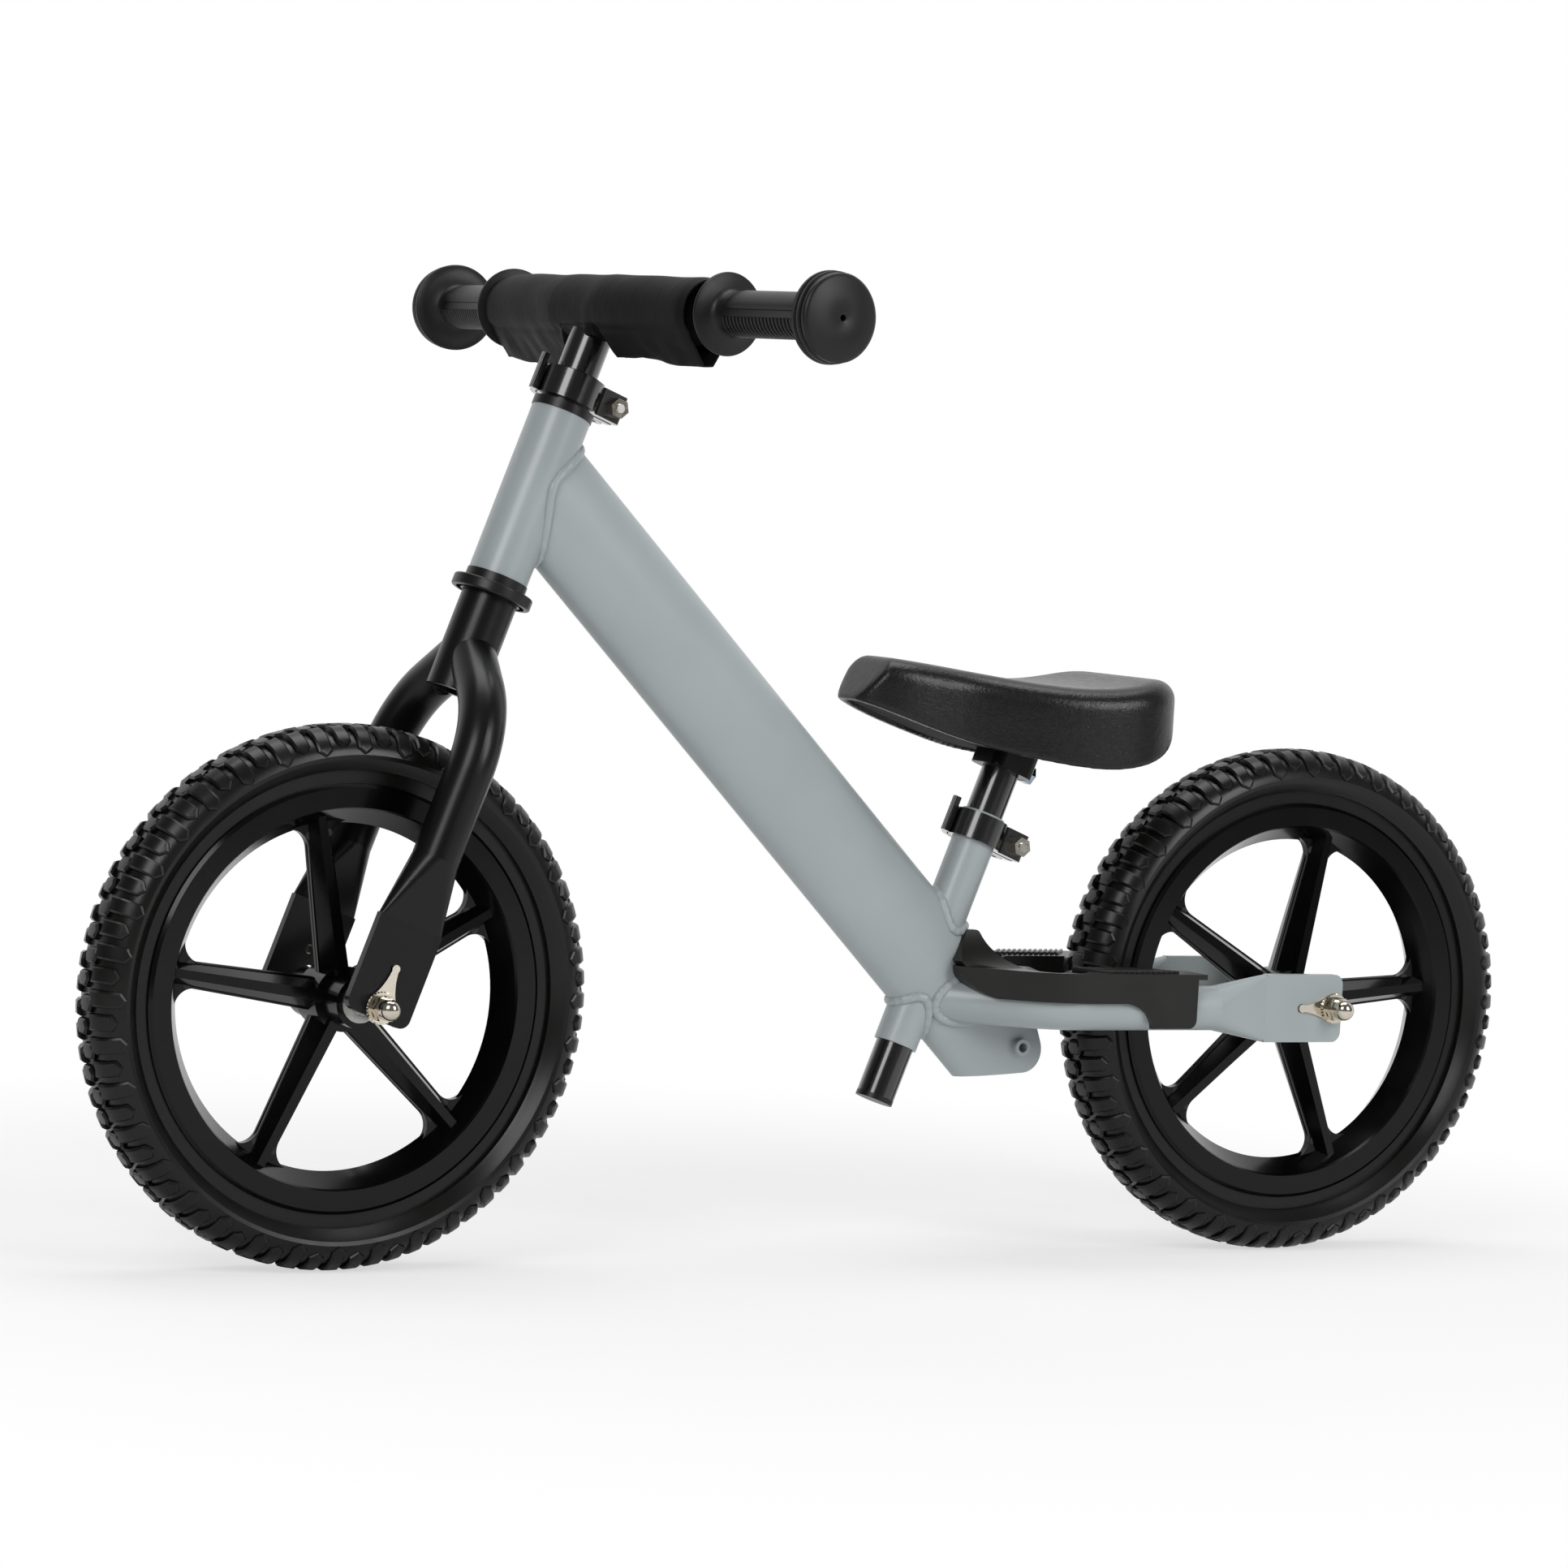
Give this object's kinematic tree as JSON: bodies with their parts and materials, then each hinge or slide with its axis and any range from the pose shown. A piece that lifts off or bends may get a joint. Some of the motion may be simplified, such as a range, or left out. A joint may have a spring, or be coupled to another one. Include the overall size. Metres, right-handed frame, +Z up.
{
  "type": "balance bike",
  "caption": "Child's balance bike with an oval grey frame, moulded black wheels with solid tyres, padded handlebar, quick-release seat and bar collars, and a rear footrest.",
  "frame": {"origin": "on the ground, midway between the wheel axles, on the centre plane", "axes": "+X forward, +Y to the rider's left, +Z up"},
  "size_m": [0.93, 0.452, 0.5579],
  "materials": {
    "frame_paint": "satin",
    "fork_paint": "gloss",
    "nickel_steel": "polished",
    "rim_plastic": "gloss",
    "footrest_plastic": "satin",
    "tyre_foam": "matte",
    "grip_rubber": "matte",
    "saddle_skin": "satin",
    "pad_cloth": "matte"
  },
  "bodies": {
    "frame": {"head_tube": "frame_paint", "down_tube": "frame_paint", "tail_boss": "frame_paint", "seat_tube": "frame_paint", "chainstay_left": "frame_paint", "chainstay_right": "frame_paint", "footrest": "footrest_plastic", "upper_cup": "fork_paint", "lower_cup": "fork_paint", "rear_axle": "nickel_steel", "rear_spacers": "nickel_steel", "rear_washers": "nickel_steel", "rear_axle_nuts": "nickel_steel", "seat_collar": "fork_paint", "seat_collar_skewer": "nickel_steel", "seat_collar_nut": "nickel_steel", "seat_collar_pin": "nickel_steel"},
    "seat_lever": {"seat_collar_lever": "fork_paint"},
    "fork": {"crown_ring": "fork_paint", "steerer": "fork_paint", "fork_leg_left": "fork_paint", "fork_leg_right": "fork_paint", "bar_collar": "fork_paint", "bar_collar_skewer": "nickel_steel", "bar_collar_nut": "nickel_steel", "bar_collar_pin": "nickel_steel", "front_axle": "nickel_steel", "front_spacers": "nickel_steel", "front_washers": "nickel_steel", "front_axle_nuts": "nickel_steel"},
    "bar_lever": {"bar_collar_lever": "fork_paint"},
    "handlebar": {"stem": "fork_paint", "crossbar": "fork_paint", "grip_left": "grip_rubber", "grip_right": "grip_rubber", "pad_foam": "pad_cloth", "pad_cover": "pad_cloth"},
    "front_wheel": {"front_rim": "rim_plastic", "front_tyre": "tyre_foam", "front_bearings": "nickel_steel"},
    "rear_wheel": {"rear_rim": "rim_plastic", "rear_tyre": "tyre_foam", "rear_bearings": "nickel_steel"},
    "seat": {"seat_post": "fork_paint", "post_plug": "rim_plastic", "saddle_pan": "rim_plastic", "saddle_cushion": "saddle_skin", "saddle_bracket": "fork_paint", "bracket_screw": "nickel_steel"}
  },
  "joints": [
    {"name": "steering", "type": "hinge", "parent": "frame", "child": "fork", "pos_m": [0.19439, 0, 0.4743], "axis": [-0.3486, 0, 0.9373], "continuous": true},
    {"name": "front_spin", "type": "hinge", "parent": "fork", "child": "front_wheel", "pos_m": [0.315, 0, 0.15], "axis": [0, 1, 0], "continuous": true},
    {"name": "rear_spin", "type": "hinge", "parent": "frame", "child": "rear_wheel", "pos_m": [-0.315, 0, 0.15], "axis": [0, 1, 0], "continuous": true},
    {"name": "bar_height", "type": "slide", "parent": "fork", "child": "handlebar", "axis": [-0.3486, 0, 0.9373], "range_m": [-0.008, 0.06]},
    {"name": "seat_height", "type": "slide", "parent": "frame", "child": "seat", "axis": [-0.3584, 0, 0.9336], "range_m": [-0.026, 0.09]},
    {"name": "bar_lever_swing", "type": "hinge", "parent": "fork", "child": "bar_lever", "pos_m": [0.16442, -0.0134, 0.47916], "axis": [0.3486, 0, -0.9373], "range_deg": [0, 150]},
    {"name": "seat_lever_swing", "type": "hinge", "parent": "frame", "child": "seat_lever", "pos_m": [-0.11778, -0.0134, 0.23914], "axis": [0.3584, 0, -0.9336], "range_deg": [0, 150]}
  ]
}
